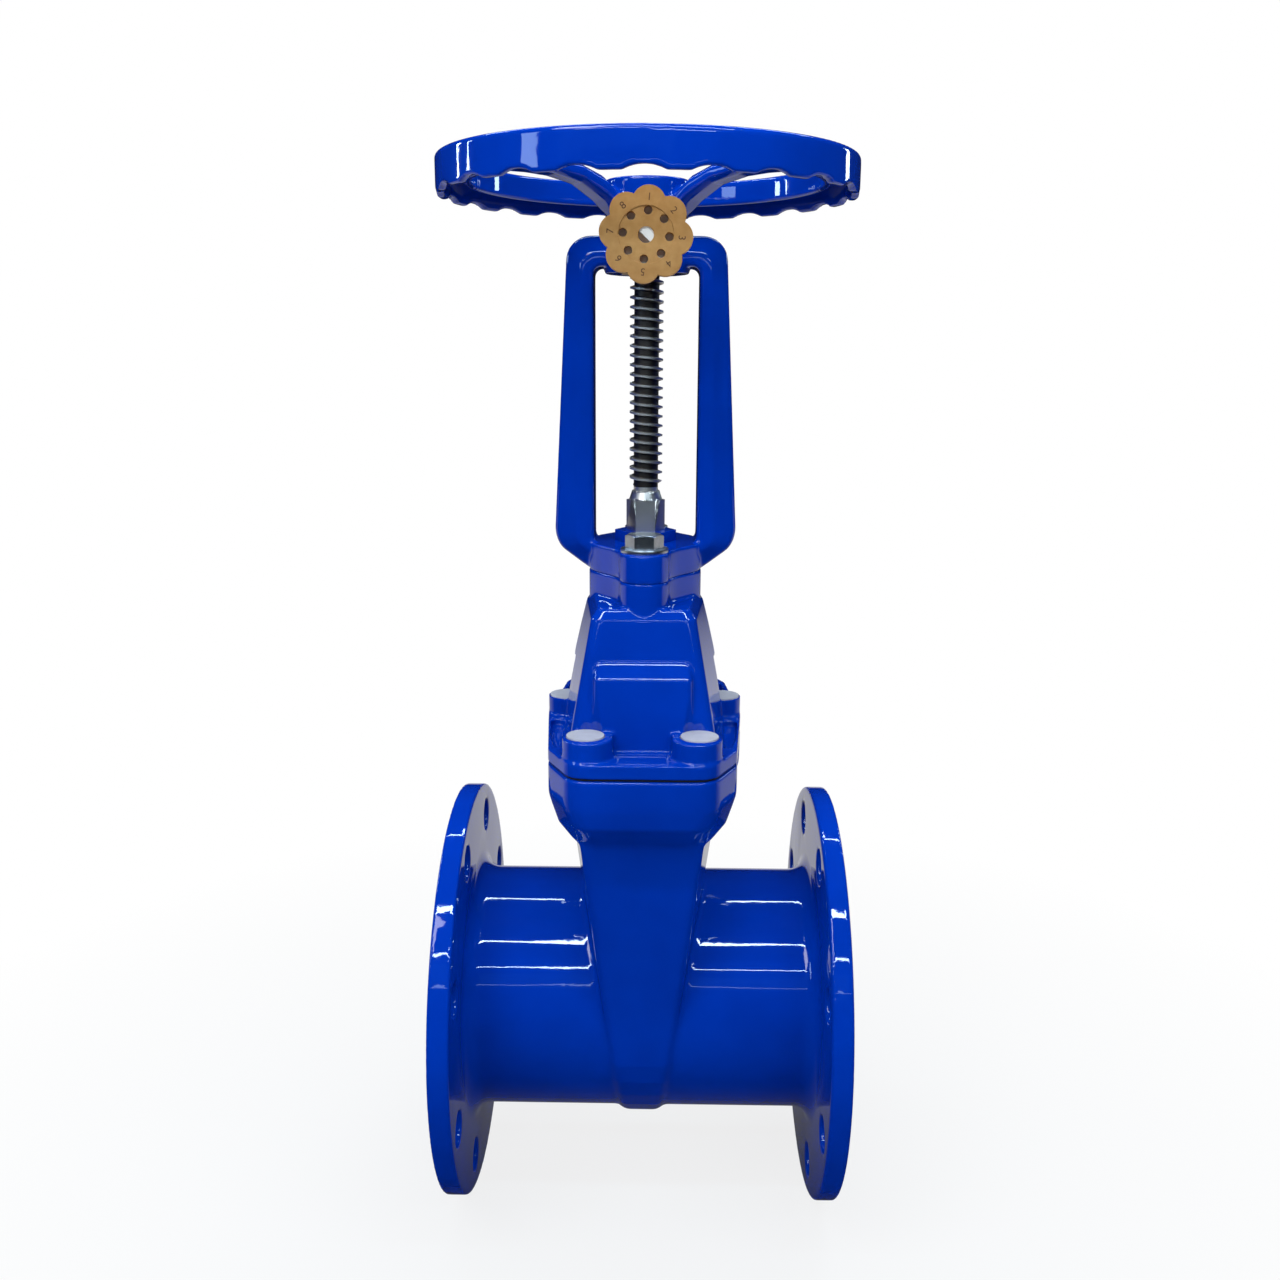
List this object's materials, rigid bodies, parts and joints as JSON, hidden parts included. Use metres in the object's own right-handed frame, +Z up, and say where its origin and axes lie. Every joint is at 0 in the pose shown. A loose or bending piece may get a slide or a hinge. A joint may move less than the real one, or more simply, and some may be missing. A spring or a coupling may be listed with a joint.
{
  "type": "rising stem gate valve",
  "caption": "Flanged gate valve with a rising threaded stem, a two-legged yoke, a spoked handwheel and a small lobed lock knob.",
  "frame": {"origin": "centre of the inlet flange's sealing face, on the bore's axis", "axes": "+X runs along the bore into the valve, +Z runs up the stem, and the lock knob faces -Y"},
  "size_m": [0.267, 0.2849, 0.705],
  "materials": {
    "blue_enamel": "deep blue gloss enamel over a smooth casting",
    "steel": "turned stainless steel",
    "zinc_steel": "bright zinc plate",
    "brass": "machined",
    "rubber": "smooth black rubber",
    "pale_plastic": "satin pale grey plastic",
    "gold_paint": "satin gold paint"
  },
  "bodies": {
    "valve": {"body": "blue_enamel", "bonnet": "blue_enamel", "bonnet_gasket": "rubber", "bonnet_bolt_1": "zinc_steel", "bonnet_bolt_2": "zinc_steel", "bonnet_bolt_3": "zinc_steel", "bonnet_bolt_4": "zinc_steel", "bonnet_bolt_5": "zinc_steel", "bonnet_bolt_6": "zinc_steel", "sealing_plug_1": "pale_plastic", "sealing_plug_2": "pale_plastic", "sealing_plug_3": "pale_plastic", "sealing_plug_4": "pale_plastic", "sealing_plug_5": "pale_plastic", "sealing_plug_6": "pale_plastic", "yoke": "blue_enamel", "yoke_bolt_front": "zinc_steel", "yoke_bolt_back": "zinc_steel", "yoke_washer_front": "zinc_steel", "yoke_washer_back": "zinc_steel", "gland_nut": "blue_enamel", "stem_guide": "steel", "packing_ring": "rubber", "lower_thrust_washer": "steel", "upper_thrust_washer": "steel", "cover_ring": "blue_enamel"},
    "handwheel": {"handwheel": "blue_enamel", "handwheel_nut": "steel", "stem_nut": "brass"},
    "stem": {"stem": "steel", "wedge": "rubber", "wedge_nut": "brass"},
    "lock_knob": {"lock_knob": "gold_paint", "lock_spindle": "steel"}
  },
  "joints": [
    {"name": "handwheel_turn", "type": "hinge", "parent": "valve", "child": "handwheel", "pos_m": [0.1335, 0, 0.545], "axis": [0, 0, 1], "range_deg": [0, 9300]},
    {"name": "stem_rise", "type": "slide", "parent": "valve", "child": "stem", "axis": [0, 0, 1], "range_m": [0, 0.156]},
    {"name": "lock_knob_turn", "type": "hinge", "parent": "valve", "child": "lock_knob", "pos_m": [0.1335, -0.056, 0.513], "axis": [0, -1, 0], "range_deg": [0, 360]}
  ],
  "couplings": [
    {"joint": "stem_rise", "follows": "handwheel_turn", "m_per_rad": 0.00095493}
  ]
}
